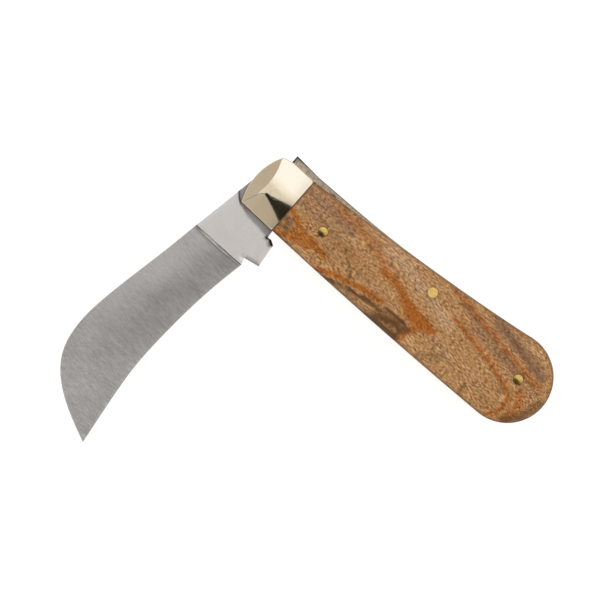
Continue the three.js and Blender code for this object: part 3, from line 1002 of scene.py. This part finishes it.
# Strokes of the wood's figure: (strength, width, points) in millimetres. Two widths are left and right.
FIGURE = {
    "pale": [
        (0.8, 2.2, [(36, 8.6), (45, 7.2), (55, 5.2), (63, 2.2)]),
        (0.4, 3, [(62, -4), (73, -5.6), (84, -6.4)]),
    ],
    "grey": [
        (0.9, 2.4, [(7, 7), (14, 6.6), (24, 5.6)]),
        (0.7, 2.2, [(6.6, 3), (14, 2.6), (22, 1.6)]),
        (1.2, 1.5, [(7, -3.2), (9, -3.6)]),
        (0.45, 1.8, [(20, -2), (30, -3.2), (38, -2.8), (47.5, -4)]),
        (0.8, 1.4, [(70, 7.2), (76.3, 5.7), (86.8, 3.8), (95, 1.6)]),
        (1, 2.2, [(74, 13), (84, 10.4), (94, 8.4)]),
        (0.6, 1.6, [(68, -4.4), (67, -9)]),
    ],
    "orange": [
        (1.2, (0.4, 1.3), [(6.2, -0.4), (8, -1.1), (10.9, -2.4), (13.9, -3.3), (19.4, -4.2), (22.7, -5)]),
        (1, (1.6, 1.3), [(11, -5.4), (14, -5.4), (17.5, -5.6)]),
        (1, 1, [(6, -8.8), (9.2, -7.8), (12.2, -7), (16.8, -6.2)]),
        (1.1, (1.1, 0.8), [(23, -9.7), (26.7, -8.2), (29.3, -7.3), (33.5, -6.4), (38.1, -5.4), (44, -4.7)]),
        (0.55, 1.8, [(18, 8.4), (26, 7.4), (31.9, 6.2), (37, 4.4)]),
        (1, 1.6, [(38.5, 2.8), (42, 2.6), (46, 1.6), (50, 0), (53, -1.4)]),
        (1.4, (0.3, 2.6), [(49.5, 0.5), (55, -0.2), (60, -1)]),
        (1.3, 1.9, [(52, -2.2), (57, -3)]),
        (1, 1.1, [(57.2, -3), (56.4, -5), (55.2, -7.4), (54.4, -10.2)]),
        (1.1, (1, 0.35), [(58.7, 11.3), (66.6, 10.2), (73, 8.9), (79.6, 7.7), (85.5, 6.6), (89.4, 6),
                          (95.3, 4.7)]),
        (1.6, (0.5, 0.32), [(63.5, 5.1), (68.3, 4.1), (72.2, 3.2), (76.3, 2.2), (80.2, 1.3), (84.2, 0.2),
                            (87.5, -1), (89.4, -2.1), (90.7, -4.2), (90.9, -6.1), (90.4, -8.2),
                            (88.4, -10.9)]),
        (0.5, (2, 0.4), [(66.5, 5), (72.2, 3.8), (80.2, 1.9), (86.4, 0.3), (90.6, -2.4), (91.6, -6.1),
                         (90.6, -10)]),
        (0.8, 2.2, [(92.5, 0.2), (94.6, -3), (94, -8)]),
    ],
    "dark": [
        (1, 0.4, [(25.7, 0.8), (27.3, -0.8), (29.3, -2.1), (31.6, -3.8), (32.4, -5.6)]),
        (1.1, (0.25, 1.1), [(24, -10.6), (29, -9), (34, -7.8), (40, -6.9), (46, -6.4)]),
        (0.5, 1.3, [(30, -10.4), (38, -9.8), (45, -9.8)]),
        (1.2, (0.3, 1), [(47, -5.3), (51.5, -5.2), (55.4, -5.8)]),
        (1.05, 1.9, [(45, -9.2), (48.5, -7.9), (52, -7.2)]),
        (1.2, (1, 1.2), [(42.5, -10.9), (48, -10.2), (53.4, -10.2)]),
        (1.1, (1, 0.8), [(54.4, -6.4), (53.4, -8.4), (53, -10.8)]),
        (0.8, 1, [(6.4, -6.2), (9.2, -6.1)]),
        (0.55, 1.2, [(6.4, -4.2), (8.6, -3.9)]),
        (0.8, (0.3, 0.8), [(63, 10.3), (74, 8.1), (82, 6.6), (90, 5), (97, 3.5)]),
        (0.6, 1.3, [(76, 12.6), (86, 9.8), (95, 7.2)]),
        (0.4, 0.8, [(79, 5.5), (87, 4.2)]),
        (0.7, (0.7, 0.9), [(78.3, -8), (78.8, -11)]),
        (0.55, 1, [(66.8, -6.6), (62, -10.4)]),
        (0.8, 1.6, [(93.6, -8.6), (97.2, -4.6), (98.8, 1.6)]),
        (0.6, (0.2, 0.45), [(66, 4.3), (76.3, 1.8), (84.2, -0.1), (88.6, -2.2)]),
    ],
}
# The pile side has the same figure turned end for end: a point's twin is this minus the point.
PILE_SIDE_FIGURE = np.array([98.0, 1.6])


def beside(points, line):
    """How far each point is from a line of straight steps, and whether it is on the line's left."""
    best, left = np.full(len(points), 1e9), np.zeros(len(points), bool)
    for a, b in zip(np.array(line[:-1], float), np.array(line[1:], float)):
        step = b - a
        share = np.clip((points - a) @ step / (step @ step), 0, 1)
        off = points - (a + share[:, None] * step)
        gap = np.linalg.norm(off, axis=1)
        left = np.where(gap < best, step[0] * off[:, 1] - step[1] * off[:, 0] > 0, left)
        best = np.minimum(best, gap)
    return best, left


def stroked(xy, strokes):
    """How strongly soft strokes cover each point: the strongest one counts."""
    total = np.zeros(len(xy))
    for strength, widths, line in strokes:
        gap, left = beside(xy, line)
        on_left, on_right = np.broadcast_to(widths, 2)
        total = np.maximum(total, strength * np.exp(-(gap / np.where(left, on_left, on_right)) ** 2))
    return total


# Widths of the painted shade on the wood's rounded rim, beside the bolster and round the pins
RIM_SHADE_WIDTH = 0.7
JOINT_SHADE_WIDTH = 0.35
PIN_SHADE_WIDTH = 0.2


def paint_wood(piece, side):
    """Stores the figure's strokes, and painted shade along the rim, beside the bolster and round the pins."""
    xy = points_of(piece)
    figure = xy if side > 0 else PILE_SIDE_FIGURE - xy
    for name, strokes in FIGURE.items():
        paint(piece, name, stroked(figure, strokes))
    joint = [(JOINT_X + y * math.tan(JOINT_LEAN), y) for y in (-12, 12)]
    edge_shade = [np.exp(-distance(xy, LOOP, True) / RIM_SHADE_WIDTH)]
    edge_shade.append(np.exp(-distance(xy, joint) / JOINT_SHADE_WIDTH))
    for at in PINS:
        gap = np.abs(np.linalg.norm(xy - at, axis=1) - PIN_RADIUS)
        edge_shade.append(0.6 * np.exp(-gap / PIN_SHADE_WIDTH))
    paint(piece, "rim", np.maximum.reduce(edge_shade))


def paint_bolster(piece):
    """Stores painted shade: a thin brown line along the rim, and a faint darkening beside the wood."""
    xy = points_of(piece)
    # Painted shade: the crown darker towards the wood, and a painted contact shadow along the rim
    joint_side_shade = 0.18 * np.exp(-((JOINT_X - xy[:, 0]) / 2.2) ** 2)
    line = 0.8 * np.exp(-(distance(xy, LOOP, True) / 0.12) ** 2)
    paint(piece, "rim", np.maximum(line, joint_side_shade))


def paint_spring(piece):
    """Stores the painted shade on the edges, which is wider at the nose."""
    xy = points_of(piece)
    width = 0.2 + 0.35 * np.exp(-((xy[:, 0] - NOSE_X) / 3.6) ** 2)
    gap = distance(xy, raised(flush_spring_loop()), True)
    paint(piece, "shade", np.exp(-(gap / width) ** 1.5))


# Scene

steel_ground, steel_glazed, steel_spring = ground_steel(), ricasso_steel(), spring_steel()
silver, yellow, wood = nickel_silver(), brass(), handle_wood()

for side, word in ((1, "mark_side"), (-1, "pile_side")):
    paint_wood(scale(side, word, wood), side)
    paint_bolster(bolster(side, word, silver))
    liner(side, word, yellow)
    ends = (-LINER_BASE, None) if side > 0 else (None, -LINER_BASE)
    nodes = [f"{word}_scale_pin"]
    pin(f"{word}_brass_scale_pin", SCALE_PIN, PIN_RADIUS, ends, PIN_DOME, yellow, nodes, wood_top)
pin("brass_middle_pin", MIDDLE_PIN, PIN_RADIUS, (None, None), 0.0, yellow, ["middle_pin"], wood_top)
pin("brass_butt_pin", BUTT_PIN, PIN_RADIUS, (None, None), PIN_DOME, yellow, ["butt_pin"], wood_top)
pivot = pin("nickel_silver_pivot_pin", PIVOT, PIVOT_RADIUS, (None, None), 0.0, silver, ["pivot_pin"],
            bolster_top)
paint(pivot, "rim", np.zeros(len(pivot.data.vertices)))
blade(steel_ground, steel_glazed)
paint_spring(back_spring(steel_spring))

for node in frame["nodes"].values():
    if not node.hide_render:
        node.data.materials.clear()
        node.data.materials.append(silver)

scene = bpy.context.scene
scene.view_settings.view_transform = "Standard"


def studio():
    """Soft light from overhead and behind the knife's back, a dark gap beside it, and a warm grey room."""
    world = bpy.data.worlds.new("studio")
    scene.world = world
    n = Nodes(world)
    part = n.add("SeparateXYZ", {0: n.add("TexCoord").outputs["Generated"]})
    tilt = n.math("ARCTAN2", part.outputs["Y"], part.outputs["Z"])
    place = n.math("ADD", n.math("DIVIDE", tilt, math.pi), 0.5)
    room, gap = srgb(188, 178, 166), srgb(42, 40, 34)
    bright, half, dim = (1.06, 1.06, 1.10, 1), (0.93, 0.89, 0.82, 1), (0.72, 0.68, 0.62, 1)
    by_tilt = [(-90, room), (-76, bright), (-56, bright), (-42, room), (-28.5, room), (-28, dim), (0, dim),
               (7, half), (17, bright), (58, bright), (72, srgb(150, 135, 118))]
    sky = n.ramp(place, *[(0.5 + degrees / 180, color) for degrees, color in by_tilt])
    in_gap = n.math("MULTIPLY", n.level(tilt, math.radians(-28.6), math.radians(-27.8)),
                    n.level(tilt, math.radians(-1.5), math.radians(-4.5)))
    in_gap = n.math("MULTIPLY", in_gap, n.level(n.math("ABSOLUTE", part.outputs["X"]), 0.36, 0.3))
    sky = n.mix(in_gap, sky, gap)
    glint = n.math("MULTIPLY", n.level(part.outputs["X"], -0.18, -0.34), n.level(tilt, 0.0, math.radians(6)))
    sky = n.mix(glint, sky, bright)
    aside = n.level(part.outputs["X"], -0.78, -0.62)
    n.tree.links.new(n.mix(aside, room, sky), n.tree.nodes["Background"].inputs["Color"])


FLOOR_HALF = 3
FLOOR_DROP = 0.02


def floor():
    """A pale floor just below the handle."""
    half, z = FLOOR_HALF, -FLOOR_DROP * MM
    corners = [(-half, -half, z), (half, -half, z), (half, half, z), (-half, half, z)]
    mesh = bpy.data.meshes.new("floor")
    mesh.from_pydata(corners, [], [(0, 1, 2, 3)])
    piece = bpy.data.objects.new("floor", mesh)
    scene.collection.objects.link(piece)
    pale = Finish("pale_floor", Base_Color=(0.5, 0.5, 0.5, 1), Roughness=0.95,
                  Emission_Color=(1, 1, 1, 1), Emission_Strength=0.78)
    mesh.materials.append(pale.material)


VIEW_CENTRE = Vector((25.26, -19.60, 9.0)) * MM
VIEW_WIDTH = 176.4 * MM
IMAGE_TURN = math.radians(39.6)
LENS = 400.0


def camera():
    """A camera straight above the mark side."""
    data = bpy.data.cameras.new("camera")
    data.lens = LENS
    data.clip_start, data.clip_end = 0.01, 20
    holder = bpy.data.objects.new("camera", data)
    scene.collection.objects.link(holder)
    holder.location = VIEW_CENTRE + Vector((0, 0, VIEW_WIDTH * LENS / data.sensor_width))
    holder.rotation_euler = (0, 0, IMAGE_TURN)
    scene.camera = holder


studio()
floor()
camera()
